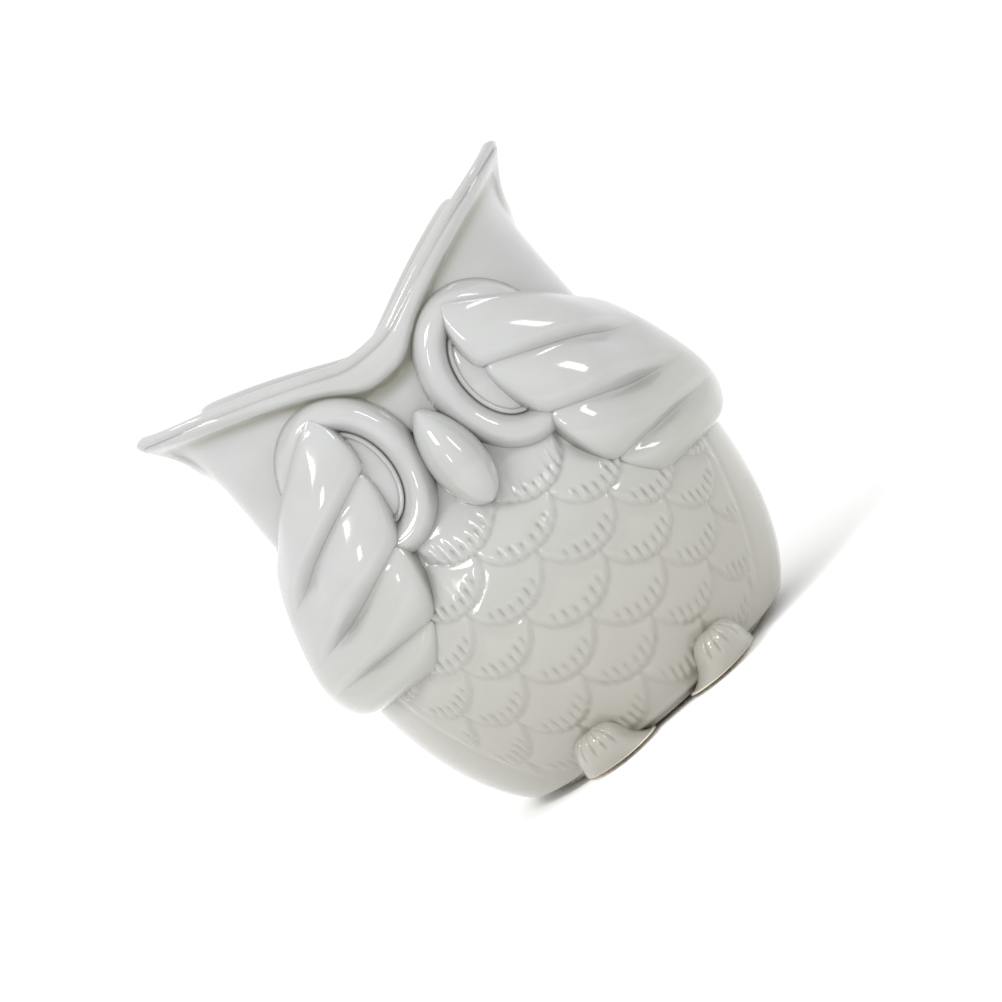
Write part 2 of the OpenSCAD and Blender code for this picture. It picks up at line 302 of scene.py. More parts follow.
def closed_mesh(name, rings, hollow=None, loop=False, flip=False):
    """Makes a closed mesh from rings of points, an array of rings by points by 3, in millimetres.

    Neighbouring rings are joined by quads, and each ring closes on itself. The first and last rings are
    closed by a fan to their middles, or joined to each other when loop is true. hollow is a value per point
    that the glaze reads as the depth of the crease it lies in; the glaze darkens with it, partly as pooled
    glaze and partly as painted shade.
    """
    rows, n = rings.shape[:2]
    index = np.arange(rows * n).reshape(rows, n)
    nxt = np.roll(index, -1, axis=1)
    if loop:
        low, high = index, np.roll(index, -1, axis=0)
        low_n, high_n = nxt, np.roll(nxt, -1, axis=0)
    else:
        low, high, low_n, high_n = index[:-1], index[1:], nxt[:-1], nxt[1:]
    quads = np.stack([low, low_n, high_n, high], axis=-1).reshape(-1, 4)
    points = rings.reshape(-1, 3)
    values = np.zeros(len(points)) if hollow is None else np.asarray(hollow, float).reshape(-1)
    fans = np.zeros((0, 3), int)
    if not loop:
        points = np.vstack([points, rings[0].mean(axis=0), rings[-1].mean(axis=0)])
        values = np.append(values, [values[:n].mean(), values[-n:].mean()])
        first, last = index[0], index[-1]
        fans = np.vstack([
            np.stack([np.full(n, rows * n), nxt[0], first], axis=-1),
            np.stack([np.full(n, rows * n + 1), last, nxt[-1]], axis=-1),
        ])
    if flip:
        quads, fans = quads[:, ::-1], fans[:, ::-1]
    corners = np.concatenate([quads.reshape(-1), fans.reshape(-1)]).astype(np.int32)
    starts = np.concatenate([np.arange(len(quads)) * 4, len(quads) * 4 + np.arange(len(fans)) * 3])
    mesh = bpy.data.meshes.new(name)
    mesh.vertices.add(len(points))
    mesh.vertices.foreach_set("co", (points * MM).astype(np.float32).reshape(-1))
    mesh.loops.add(len(corners))
    mesh.loops.foreach_set("vertex_index", corners)
    mesh.polygons.add(len(starts))
    mesh.polygons.foreach_set("loop_start", starts.astype(np.int32))
    mesh.update(calc_edges=True)
    mesh.validate()
    mesh.shade_smooth()
    mesh.attributes.new("hollow", "FLOAT", "POINT").data.foreach_set("value", values.astype(np.float32))
    piece = bpy.data.objects.new(name, mesh)
    bpy.context.scene.collection.objects.link(piece)
    return piece


def soften(field, passes):
    """Rounds a field off, as glaze does: each pass takes a quarter from each side, along and then across."""
    for _ in range(passes):
        for axis in (0, 1):
            field = field / 2 + (np.roll(field, 1, axis) + np.roll(field, -1, axis)) / 4
    return field


def hollows(field, passes):
    """Depth of a relief below its own average: positive in creases and negative on edges."""
    return soften(field, passes) - field


def show(piece, node, material):
    """Gives the piece its finish and lets it stand for its CAD node."""
    piece.data.materials.append(material)
    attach(piece, "root")
    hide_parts(node)


# ---- Finishes -----------------------------------------------------------------------------------


def add_node(tree, kind, inputs=None, **settings):
    """Adds a shader node. settings are its attributes, and inputs are values or the sockets that feed it."""
    node = tree.nodes.new(kind)
    for key, value in settings.items():
        setattr(node, key, value)
    for key, value in (inputs or {}).items():
        if isinstance(value, bpy.types.NodeSocket):
            tree.links.new(value, node.inputs[key])
        else:
            node.inputs[key].default_value = value
    return node


def new_material(name):
    """An empty node material with its output and Principled shader."""
    material = bpy.data.materials.new(name)
    material.use_nodes = True
    material.node_tree.nodes.clear()
    tree = material.node_tree
    shader = add_node(tree, "ShaderNodeBsdfPrincipled")
    add_node(tree, "ShaderNodeOutputMaterial", {0: shader.outputs[0]})
    return material, tree, shader


def per_metre(size_mm):
    """A texture's scale, from the size of one of its features."""
    return 1 / (size_mm * MM)


def glazed_ceramic(colours, foot_z):
    """White tin glaze over slip-cast clay, dipped and fired.

    The eye gets a clear hard gloss with slightly wavy reflections, a glaze that darkens and turns greenish
    grey in creases, partly as pooled glaze and partly as painted shade, a painted shade that darkens and
    warms the body towards the bottom, random warm clouds, a few pinholes and iron specks, and a matt
    unglazed foot ring.
    """
    cloud_mm, speck_apart_mm, gloss_mm, ripple_mm = 14.3, 8.7, 4.17, 6.25
    material, tree, shader = new_material("white_tin_glaze_dipped")
    place = add_node(tree, "ShaderNodeTexCoord").outputs["Object"]
    height = add_node(tree, "ShaderNodeSeparateXYZ", {0: place}).outputs["Z"]
    hollow = add_node(tree, "ShaderNodeAttribute", attribute_name="hollow").outputs["Fac"]
    cloud = add_node(
        tree, "ShaderNodeTexNoise", {"Vector": place, "Scale": per_metre(cloud_mm), "Detail": 3.0}
    ).outputs["Fac"]
    cells = add_node(
        tree, "ShaderNodeTexVoronoi", {"Vector": place, "Scale": per_metre(speck_apart_mm), "Randomness": 1.0}
    ).outputs
    rare = add_node(tree, "ShaderNodeSeparateColor", {0: cells["Color"]}).outputs[0]
    # Each share goes from 0 to its top as the source goes from low to high
    shares = {}
    for name, source, low, high, top in (
        # Painted shade: the body darkens and warms from 62 mm down to 12 mm
        ("low_shade_and_cloud_tint", height, 62 * MM, 12 * MM, 1.0),
        ("clouded", cloud, 0.42, 0.8, 0.3),
        # Painted shade and pooled glaze: the colour darkens with the crease depth
        ("pooled_glaze_and_crease_shade", hollow, 0.02, 0.42, 1.0),
        ("chosen", rare, 0.955, 0.957, 1.0),
        ("dot", cells["Distance"], 0.06, 0.035, 1.0),
        ("bare", height, (foot_z + 0.35) * MM, (foot_z + 0.1) * MM, 1.0),
    ):
        reach = {"Value": source, "From Min": low, "From Max": high, "To Max": top}
        shares[name] = add_node(tree, "ShaderNodeMapRange", reach, interpolation_type="SMOOTHSTEP").outputs[0]
    both = {0: shares["chosen"], 1: shares["dot"]}
    speck = add_node(tree, "ShaderNodeMath", both, operation="MULTIPLY").outputs[0]
    colour = (*colours.glaze, 1.0)
    for share, over in (
        (shares["low_shade_and_cloud_tint"], colours.low_shade_and_cloud_tint),
        (shares["clouded"], colours.low_shade_and_cloud_tint),
        (shares["pooled_glaze_and_crease_shade"], colours.pooled_glaze_and_crease_shade),
        (speck, colours.speck),
        (shares["bare"], colours.bisque),
    ):
        mixed = {"Factor": share, 6: colour, 7: (*over, 1.0)}
        colour = add_node(tree, "ShaderNodeMix", mixed, data_type="RGBA").outputs[2]
    tree.links.new(colour, shader.inputs["Base Color"])
    gloss = add_node(
        tree, "ShaderNodeTexNoise", {"Vector": place, "Scale": per_metre(gloss_mm), "Detail": 2.0}
    ).outputs["Fac"]
    glazed = add_node(tree, "ShaderNodeMapRange", {"Value": gloss, "To Min": 0.06, "To Max": 0.13}).outputs[0]
    rough = add_node(tree, "ShaderNodeMath", {0: shares["bare"], 1: glazed}, operation="MAXIMUM").outputs[0]
    tree.links.new(rough, shader.inputs["Roughness"])
    ripple = add_node(
        tree,
        "ShaderNodeTexNoise",
        {"Vector": place, "Scale": per_metre(ripple_mm), "Detail": 2.0, "Roughness": 0.55},
    ).outputs["Fac"]
    pit = add_node(tree, "ShaderNodeMath", {0: speck, 1: -0.6}, operation="MULTIPLY").outputs[0]
    relief = add_node(tree, "ShaderNodeMath", {0: ripple, 1: pit}, operation="ADD").outputs[0]
    waves = {"Height": relief, "Strength": 0.5, "Distance": 0.1 * MM}
    bump = add_node(tree, "ShaderNodeBump", waves).outputs[0]
    tree.links.new(bump, shader.inputs["Normal"])
    shader.inputs["IOR"].default_value = 1.52
    shader.inputs["Coat Weight"].default_value = 0.35
    shader.inputs["Coat Roughness"].default_value = 0.03
    shader.inputs["Subsurface Weight"].default_value = 0.08
    shader.inputs["Subsurface Radius"].default_value = (1.0, 0.95, 0.85)
    shader.inputs["Subsurface Scale"].default_value = 1.2 * MM
    return material


def pressed_felt(colours):
    """Pressed wool felt, die cut. The eye gets a soft matt nap of tangled fibres with no weave."""
    nap_mm = 0.385  # Tufts of fibre; a single fibre, about 0.02 mm, is too fine to draw
    material, tree, shader = new_material("pressed_wool_felt")
    place = add_node(tree, "ShaderNodeTexCoord").outputs["Object"]
    nap = add_node(
        tree,
        "ShaderNodeTexNoise",
        {"Vector": place, "Scale": per_metre(nap_mm), "Detail": 6.0, "Roughness": 0.75},
    ).outputs["Fac"]
    reach = {"Value": nap, "From Min": 0.3, "From Max": 0.7}
    light = add_node(tree, "ShaderNodeMapRange", reach, interpolation_type="SMOOTHSTEP").outputs[0]
    dark = tuple(c * 0.55 for c in colours.felt)
    mixed = {"Factor": light, 6: (*dark, 1.0), 7: (*colours.felt, 1.0)}
    colour = add_node(tree, "ShaderNodeMix", mixed, data_type="RGBA").outputs[2]
    tree.links.new(colour, shader.inputs["Base Color"])
    fuzz = {"Height": nap, "Strength": 0.8, "Distance": 0.3 * MM}
    bump = add_node(tree, "ShaderNodeBump", fuzz).outputs[0]
    tree.links.new(bump, shader.inputs["Normal"])
    shader.inputs["Roughness"].default_value = 0.95
    shader.inputs["Sheen Weight"].default_value = 0.4
    return material


def pale_sweep(colours):
    """Matt painted board, evenly pale, for the floor."""
    material, _, shader = new_material("painted_board_floor")
    shader.inputs["Base Color"].default_value = (*colours.floor, 1.0)
    shader.inputs["Roughness"].default_value = 0.9
    shader.inputs["Specular IOR Level"].default_value = 0.1
    return material


def finish(name, make):
    """The material called name, made once."""
    return bpy.data.materials.get(name) or make()


def glaze_of(scene):
    """The glaze, made to end at the scene's foot ring."""
    foot_z = in_mm(scene.owl_body).foot_z
    return finish("white_tin_glaze_dipped", lambda: glazed_ceramic(scene.owl_colours, foot_z))


# ---- Body ---------------------------------------------------------------------------------------


BREAST_ARC = 0.71  # Millimetres across the breast to one degree round it
FAR = 99.0  # A distance that no feather reaches
PANEL_DEG = 74.0  # Where the closely spaced columns end, to each side of the front


def feather_relief(f, angle, z):
    """Height of the carved breast over its ground.

    Row k's feathers are half ellipses whose lowest points lie near one level, half a pitch over from the row
    above. A point belongs to the highest row whose arc it lies above. Its height goes from 0 under the
    feathers above to the full relief at its own edge, then drops to 0 over a rounded step. Notches are cut
    into the edge, one every notch_gap.
    """
    pitch = math.degrees(f.pitch)
    half_mm = pitch / 2 * BREAST_ARC
    own = np.full(angle.shape, FAR)
    over = np.full(angle.shape, FAR)
    across = np.zeros(angle.shape)
    depth = np.zeros(angle.shape)
    fade = np.ones(angle.shape)
    free = np.ones(angle.shape, bool)
    radius = (half_mm + f.row_h) / 2
    for k in range(f.rows):
        shift = pitch / 2 if k % 2 == 0 else 0.0
        place = (angle - shift) / pitch
        index = np.round(place)
        side = (place - index) * 2
        bottom = f.first_z - k * f.row_h + 0.35 * np.sin(2.1 * index + 1.3 * k)
        drop = (z - bottom - f.row_h) / f.row_h
        q = np.sqrt(side**2 + np.minimum(drop, 0) ** 2)
        inside = free & (q < 1)
        own = np.where(inside, (1 - q) * radius + np.maximum(z - bottom - f.row_h, 0) * 0.6, own)
        across = np.where(inside, side * half_mm, across)
        depth = np.where(inside, -drop, depth)
        fade = np.where(inside, lerp(1.0, 0.62, k / max(f.rows - 1, 1)), fade)
        free &= ~inside
        over = np.where(free, np.minimum(over, (q - 1) * radius), over)
    own = np.where(free, 0.0, own)
    share = over / np.maximum(own + over, 1e-6)
    height = f.relief * fade * power(share, 0.8) * smooth(own / 0.75)
    teeth = smooth((np.cos(2 * np.pi * (across / f.notch_gap + 0.5)) - 0.25) / 0.6)
    teeth *= smooth((0.88 - np.abs(across) / half_mm) / 0.1) * smooth((depth - 0.28) / 0.2)
    reach = smooth((own - 0.15) / 0.4) * smooth((f.notch_len - own) / 1.0)
    height -= f.notch_deep * fade * teeth * reach * (~free)
    return height


def breast_field(f, angle, z):
    """Relief of the whole casting: the feathered breast panel, a soft step at its border, and plain sides."""
    border = 47 + 0.45 * z
    panel = smooth((border - np.abs(angle)) / 5) * smooth((z - 1.5) / 2)
    panel *= smooth((f.first_z + f.row_h + 2 - z) / 3)
    plain = 0.35 * smooth((60 - z) / 12)
    line = -0.22 * np.exp(-(((np.abs(angle) - border) / 1.6) ** 2))
    line *= smooth((50 - z) / 6) * smooth((z - 3) / 3)
    return lerp(plain, feather_relief(f, angle, z), panel) + line


def body_rings(skin, f):
    """Rings of the casting, from the middle of the crown's scoop out over the lip, down the wall, under the
    foot ring, in through the vent and up inside the cavity."""
    s = skin.s
    columns, fine = 468, 350
    front = np.linspace(-PANEL_DEG, PANEL_DEG, fine, endpoint=False)
    rear = np.linspace(PANEL_DEG, 360 - PANEL_DEG, columns - fine, endpoint=False)
    p = np.concatenate([front, rear])
    q = (p + 180) % 360 - 180
    rim = np.mean([skin.rim(p + d) for d in (-5.0, -2.5, 0.0, 2.5, 5.0)], axis=0)
    rim = rim + (s.total_h - 0.1 - rim.max()) * np.exp(-(((np.abs(q) - skin.ear) / 11) ** 2))
    rings, relief = [], []

    def add(points, field=None):
        rings.append(points)
        relief.append(np.zeros(columns) if field is None else field)

    edge = skin.at(p, rim - s.lip_r, -2 * s.lip_r)
    scoop_z = skin.notch_z - s.scoop_h

    def bowl(share, drop, rim_point):
        keep = 1 - share
        z = lerp(scoop_z, rim_point[:, 2], keep**1.5) - drop
        return np.stack([rim_point[:, 0] * keep, rim_point[:, 1] * keep, z], axis=-1)

    for share in (0.97, 0.9, 0.8, 0.7, 0.6, 0.5, 0.4, 0.3, 0.22, 0.15, 0.09, 0.04):
        add(bowl(share, 0, edge))
    for a in np.radians(np.arange(180, -1, -20)):
        add(skin.at(p, rim - s.lip_r + s.lip_r * np.sin(a), s.lip_r * (np.cos(a) - 1)))
    top = rim - s.lip_r
    belt_z = f.first_z + 3.0
    neck = np.concatenate([np.linspace(0, 0.3, 14, endpoint=False), np.linspace(0.3, 1, 22, endpoint=False)])
    width = s.band_h + 2.6 * np.exp(-((q / 9) ** 2))
    walls = [lerp(top, belt_z, t) for t in neck]
    walls += [np.full(columns, z) for z in np.linspace(belt_z, s.foot_z + 1.4, 128)]
    z_all = np.array(walls)
    angle = np.broadcast_to(q, z_all.shape)
    x_all = skin.half(z_all) * np.sin(np.radians(angle))
    in_front = smooth((np.cos(np.radians(angle)) + 0.1) / 0.5)
    under = top - z_all
    band = s.band_t * smooth(under / 1.4) * smooth((width - under) / 1.8 + 0.5)
    flute = -0.9 * np.exp(-((x_all / 5.5) ** 2)) * in_front
    flute *= smooth((z_all - 66) / 6) * smooth((under - width + 0.5) / 3)
    cheek = -0.5 * smooth((under - width + 0.3) / 1.5) * smooth((z_all - 70) / 8) * in_front
    field = breast_field(f, angle, z_all) + band + flute + cheek
    padded = np.concatenate([field[:1], field, field[-1:]])
    field = soften(padded, 1)[1:-1]
    first_wall = len(rings)
    for z, h in zip(z_all, field):
        add(skin.at(p, z, h), h)
    land = s.base_r - 1.5
    turn = np.radians(p)
    ray = np.stack([np.sin(turn), -np.cos(turn), np.zeros(columns)], axis=-1)

    def flat(r, z):
        add(ray * r + np.array([0, 0, z]))

    floor = s.foot_z + s.recess + s.wall
    for r, z in (
        (s.base_r - 0.05, s.foot_z + 0.9),
        (s.base_r - 0.4, s.foot_z + 0.45),
        (land, s.foot_z),
        (land + 1 - s.ring_land, s.foot_z),
        (land + 0.75 - s.ring_land, s.foot_z + 0.2),
        (land + 0.4 - s.ring_land, s.foot_z + s.recess),
        (s.vent_d / 2 + 0.5, s.foot_z + s.recess),
        (s.vent_d / 2, s.foot_z + s.recess + 0.5),
        (s.vent_d / 2, floor),
        (s.base_r - s.wall - 2, floor),
    ):
        flat(r, z)
    for t in np.linspace(0, 1, 7):
        add(skin.at(p, lerp(floor + 2.5, top - 2.4 * s.wall, t), -s.wall))
    inner = skin.at(p, rim - s.lip_r, -2 * s.lip_r - s.wall)
    for share in (0.2, 0.5, 0.8, 0.97):
        add(bowl(share, s.wall, inner))
    relief = np.array(relief)
    # Crease depth of the relief; the glaze darkens with it, partly as pooled glaze and partly as painted
    # shade
    deep = hollows(relief, 10)
    # Painted shade: a dark line in the groove under the brow band, added to the crease depth so the glaze
    # darkens there
    painted_shade_under_band = 0.35 * np.exp(-(((under - width - 0.2) / 1.0) ** 2)) * in_front
    deep[first_wall:first_wall + len(z_all)] += painted_shade_under_band
    return np.array(rings), deep


class OWL_OT_body(bpy.types.Operator):
    """Builds the hollow casting: body, scooped crown, ears, breast feathers, foot ring and vent"""

    bl_idname = "owl.body"
    bl_label = "Body casting"

    def execute(self, context):
        scene = context.scene
        rings, deep = body_rings(Skin(in_mm(scene.owl_body)), in_mm(scene.owl_feathers))
        piece = closed_mesh("body_shell", rings, deep)
        show(piece, "body_casting", glaze_of(scene))
        return {"FINISHED"}


# ---- Eyes ---------------------------------------------------------------------------------------


def eye_measures():
    """Middle of the right eye across and up, half the ring's width and height, and half its roll's width."""
    middle = (EYE_RING[0] + EYE_RING[1]) / 2
    half = (EYE_RING[1] - EYE_RING[0]) / 2
    inner = (EYE[1] - EYE[0]) / 2
    roll = (half[0] - inner[0]) / 2
    return middle[0], middle[2], half[0], half[2], roll


def eye_ring_rings(skin, side):
    """A roll round an ellipse. Its section is a hump, slimmer than a half ellipse and fuller on its inner
    side, with a low bead inside it and its foot sunk in the face."""
    x0, z0, a, b, roll = eye_measures()
    turn = np.radians(np.arange(0, 360, 1.5))[:, None]
    lay = np.linspace(0, np.pi, 34)
    out = roll * np.cos(lay)
    up = 3.3 * power(np.sin(lay), np.where(lay < np.pi / 2, 1.6, 1.1)) + 0.2
    bead = np.linspace(0, np.pi, 12)
    bead_out, bead_up = -roll - 0.55 + 0.5 * np.cos(bead), 1.05 + 0.45 * np.sin(bead)
    out = np.concatenate([[roll + 0.35], out, bead_out, [-roll - 1.2, -roll, 0, roll]])
    up = np.concatenate([[-0.5], up, bead_up, [-0.5, -0.9, -0.9, -0.9]])
    x = side * x0 + (a - roll + out) * np.cos(turn)
    z = z0 + (b - roll + out) * np.sin(turn)
    return skin.face(x, z, np.broadcast_to(up, x.shape)), np.broadcast_to(crease_near(out, roll), x.shape)


def crease_near(out, roll):
    """How near a point of the ring's section is to the creases along the roll's inner and outer sides."""
    # The glaze darkens near these creases: partly pooled glaze, partly painted shade
    inner = 0.18 * np.exp(-(((out + roll + 0.1) / 0.5) ** 2))
    outer = 0.2 * np.exp(-(((out - roll - 0.2) / 0.4) ** 2))
    return inner + outer


def eye_rings(skin, side):
    """A shallow dome inside the ring, an ellipse in outline, with its foot sunk in the face."""
    x0, z0, a, b, roll = eye_measures()
    turn = np.radians(np.arange(0, 360, 2.5))
    share = np.concatenate([[0.0001], np.linspace(0.06, 1, 26), [1.0, 0.5]])
    height = np.concatenate([1.0 + 1.5 * power(1 - share[:27] ** 2, 0.75), [-0.5, -0.5]])
    wide, tall = a - 2 * roll - 0.75, b - 2 * roll - 0.75
    x = side * x0 + share[:, None] * wide * np.cos(turn)
    z = z0 + share[:, None] * tall * np.sin(turn)
    # Painted shade round the dome's edge where it meets the ring, through the darker crease glaze
    deep = np.broadcast_to(0.35 * smooth((share[:, None] - 0.9) / 0.1), x.shape)
    return skin.face(x, z, height[:, None]), deep


class OWL_OT_eyes(bpy.types.Operator):
    """Builds the two eye rings and the two domed eyes inside them"""

    bl_idname = "owl.eyes"
    bl_label = "Eyes"

    def execute(self, context):
        skin = Skin(in_mm(context.scene.owl_body))
        glaze = glaze_of(context.scene)
        for side, name in ((LEFT, "left"), (RIGHT, "right")):
            rings, deep = eye_ring_rings(skin, side)
            piece = closed_mesh(f"{name}_eye_roll", rings, deep, loop=True)
            show(piece, f"{name}_eye_ring", glaze)
            rings, deep = eye_rings(skin, side)
            piece = closed_mesh(f"{name}_eye_dome", rings, deep)
            show(piece, f"{name}_eye", glaze)
        return {"FINISHED"}


# ---- Beak ---------------------------------------------------------------------------------------


def beak_rings(skin):
    """Rings across a plump almond, whose ridge stands highest half way up."""
    low, high = BEAK[0][2], BEAK[1][2] + 0.15
    half = (BEAK[1][0] - BEAK[0][0]) / 2
    thick = -BEAK[0][1] - float(skin.front((low + high) / 2))
    f = (1 - np.cos(np.linspace(np.pi - 0.03, 0.03, 90)))[:, None] / 2
    width = half * power(np.sin(np.pi * f**0.82), 0.54)
    ridge = lerp(0.28, 1.0, power(np.sin(np.pi * f), 0.75))
    u = np.sin(np.linspace(-np.pi / 2, np.pi / 2, 61))
    section = power(1 - np.abs(u) ** 2.1, 0.62)
    x = np.concatenate([u, [1.0, 0.4, -0.4, -1.0]]) * width
    h = np.concatenate([lerp(1.6, thick, ridge * section), np.full((len(f), 4), -0.6)], axis=1)
    z = np.broadcast_to(lerp(low, high, f), x.shape)
    # Painted shade along the beak's sides where it meets the face, through the darker crease glaze
    deep = np.broadcast_to(0.25 * np.concatenate([power(np.abs(u), 14), np.ones(4)]), x.shape)
    return skin.face(x, z, h), deep


class OWL_OT_beak(bpy.types.Operator):
    """Builds the almond-shaped beak between the eyes"""

    bl_idname = "owl.beak"
    bl_label = "Beak"

    def execute(self, context):
        rings, deep = beak_rings(Skin(in_mm(context.scene.owl_body)))
        show(closed_mesh("beak_almond", rings, deep), "beak", glaze_of(context.scene))
        return {"FINISHED"}


# ---- Wings --------------------------------------------------------------------------------------

# Ends of the five lines that part the feathers, lowest first: eye half widths out from the middle of the eye,
# and heights as a share of the way from the belly's widest to the middle of the eyes
WING_TIPS = np.array([[1.34, -0.05], [0.84, 0.18], [0.38, 0.61], [0.08, 1.03], [0.17, 1.43]])
# Heights of the same lines at the wing's root, as the same share
WING_ROOTS = np.array([-0.11, 0.12, 0.3, 0.54, 0.85])
# How late each line climbs from its root to its end, 1 being evenly
WING_CLIMBS = np.array([1.0, 1.0, 3.0, 2.1, 2.1])
# How far each feather's end bows on past its lines' ends, towards the beak, in eye half widths
WING_BULGES = np.array([0.08, 0.2, 0.15, 0.2])
WING_ROOT_DEG = 126.0  # Where a wing starts, round from the front
WING_THICK = 5.8
OVER_RING = 3.6  # How far a wing rises to pass over an eye ring


def over_ring(x, z, fade):
    """1 over an eye ring and 0 well clear of it."""
    x0, z0, a, b, _ = eye_measures()
    r = np.hypot((np.abs(x) - x0) / a, (z - z0) / b)
    return smooth((1.04 + fade - r) / fade)


def wing_rings(skin, side):
    """Rings from the wing's root behind the shoulder to the feather tips, sunk under the skin at both ends.

    s runs from the root, 0, to the tips, 1, and t across the four feathers from the lowest. A feather's
    section rises gently from its upper line to a ridge and drops steeply to its lower line, so each laps the
    one below.
    """
    x0, z0, a, _, _ = eye_measures()
    s = lerp(0.01, 1.0, 1 - np.linspace(1, 0, 180) ** 1.5)
    t = np.linspace(0, 1, 241)
    count = len(WING_TIPS) - 1
    k = np.minimum((t * count).astype(int), count - 1)
    u = t * count - k
    out = WING_BULGES[k] * dome(2 * u - 1)
    tip_x = x0 + a * (lerp(WING_TIPS[k, 0], WING_TIPS[k + 1, 0], u) - out)

    def up(share):
        return lerp(skin.s.belly_z, z0, share)

    tip_z = up(lerp(WING_TIPS[k, 1], WING_TIPS[k + 1, 1], u) - 0.12 * out)
    tip_p = skin.angle(tip_x, tip_z, WING_THICK + OVER_RING)
    root_p = WING_ROOT_DEG - 10 * (2 * t - 1) ** 2
    root_z = up(lerp(WING_ROOTS[k], WING_ROOTS[k + 1], u))
    climb = lerp(WING_CLIMBS[k], WING_CLIMBS[k + 1], u)
    s = s[:, None]
    p = lerp(root_p, tip_p, s)
    z = lerp(root_z, tip_z, s**climb)
    ridge = 0.3
    climb_side = np.sin(np.pi / 2 * unit(u / ridge)) ** 0.8
    fall_side = 1 - unit((u - ridge) / (1 - ridge)) ** 1.9
    rise = np.where(u < ridge, climb_side, fall_side)
    deep = 0.58 * smooth((75 - p) / 26)
    lapped = 1 - deep * (1 - rise)
    edge_n = lerp(2.6, 4.4, s)
    edge = power(1 - np.abs(2 * t - 1) ** edge_n, 0.5)
    root = smooth(s / 0.4)
    end = power(1 - unit((s - 0.5) / 0.5) ** 5, 0.5) * lerp(1.0, 0.82, smooth((s - 0.4) / 0.6))
    thick = soften(WING_THICK * lapped * edge * root * end, 12)
    x = skin.at(p, z, WING_THICK)[..., 0]
    base = OVER_RING * over_ring(x, z, 1.0) * smooth((96 - p) / 20) + 0.1
    h = base + thick
    sunk = skin.at(side * p, z, -0.6)
    top = np.concatenate([sunk[:1], skin.at(side * p, z, h), sunk[-1:]])
    bottom = np.concatenate([sunk[:1], sunk, sunk[-1:]])[:, ::-8]
    # Painted shade on the sunk ends and underside and in the creases between feathers, through the darker
    # crease glaze
    hollow = np.full((len(top), len(t) + bottom.shape[1]), 0.3)
    hollow[1:-1, :len(t)] = hollows(thick, 12)
    return np.concatenate([top, bottom], axis=1), hollow


class OWL_OT_wings(bpy.types.Operator):
    """Builds the two wings, four feathers each, folded up over the eyes"""

    bl_idname = "owl.wings"
    bl_label = "Wings"

    def execute(self, context):
        skin = Skin(in_mm(context.scene.owl_body))
        for side, name in ((LEFT, "left"), (RIGHT, "right")):
            rings, deep = wing_rings(skin, side)
            piece = closed_mesh(f"{name}_wing_feathers", rings, deep, flip=side > 0)
            show(piece, f"{name}_wing", glaze_of(context.scene))
        return {"FINISHED"}


# ---- Feet ---------------------------------------------------------------------------------------


def foot_rings(skin, side):
    """Rings up a domed foot. u runs from its inner to its outer side. The dome is fuller outwards, and short
    grooves part the toes over the top."""
    low, high = FOOT
    middle, half = (low[0] + high[0]) / 2, (high[0] - low[0]) / 2
    z_low, z_high = low[2], high[2]
    rise = np.linspace(0, np.pi / 2 - 0.02, 46)[::-1][:, None]
    turn = np.linspace(-np.pi / 2, np.pi / 2, 91)
    u = np.sin(turn)
    ball = power(np.cos(rise), 0.55)
    inner = 0.28 - 0.78 * ball - 0.5 * np.exp(-np.sin(rise) / 0.17) * ball
    outer = 0.28 + 0.72 * ball
    x = middle + half * lerp(inner, outer, (np.concatenate([u, [1.0, 0.5, 0.0, -0.5, -1.0]]) + 1) / 2)
    toes = np.exp(-(((((u - 0.1) * 2.6) % 1) - 0.5) / 0.13) ** 2) * smooth((0.75 - np.abs(u - 0.1)) / 0.2)
    groove = 0.5 * toes * smooth((np.sin(rise) - 0.3) / 0.3) * power(np.cos(rise), 0.5)
    full = 7.2 * power(np.cos(rise), 0.55) * np.cos(turn) ** 0.9 * (1 - 0.12 * smooth(-u)) + 0.2 - groove
    h = np.concatenate([full, np.full((len(rise), 5), -0.8)], axis=1)
    z = np.broadcast_to(lerp(z_low, z_high, np.sin(rise)), h.shape)
    # Painted shade in the toe grooves and on the sunk underside, through the darker crease glaze
    deep = np.concatenate([groove * 0.5, np.full((len(rise), 5), 0.3)], axis=1)
    return skin.face(side * x, z, h), deep


class OWL_OT_feet(bpy.types.Operator):
    """Builds the two domed feet with their grooved toes"""

    bl_idname = "owl.feet"
    bl_label = "Feet"

    def execute(self, context):
        skin = Skin(in_mm(context.scene.owl_body))
        for side, name in ((LEFT, "left"), (RIGHT, "right")):
            rings, deep = foot_rings(skin, side)
            piece = closed_mesh(f"{name}_foot_toes", rings, deep, flip=side < 0)
            show(piece, f"{name}_foot", glaze_of(context.scene))
        return {"FINISHED"}


# ---- Felt pads ----------------------------------------------------------------------------------


def pad_rings(node):
    """A disc whose cut edge is slightly bowed, inside its CAD node's box."""
    low, high = node_box(node)
    middle, r = (low + high) / 2, (high[0] - low[0]) / 2
    turn = np.radians(np.arange(0, 360, 3))
    x, y = r * np.sin(turn), -r * np.cos(turn)
    steps = [(0.5, 1.0), (0.95, 1.0), (0.99, 0.85), (1.0, 0.5), (0.99, 0.15), (0.95, 0.0), (0.5, 0.0)]
    rings = []
    for k, up in steps:
        z = np.full(turn.shape, lerp(low[2], high[2], up))
        rings.append(np.stack([middle[0] + k * x, middle[1] + k * y, z], axis=-1))
    return np.array(rings)


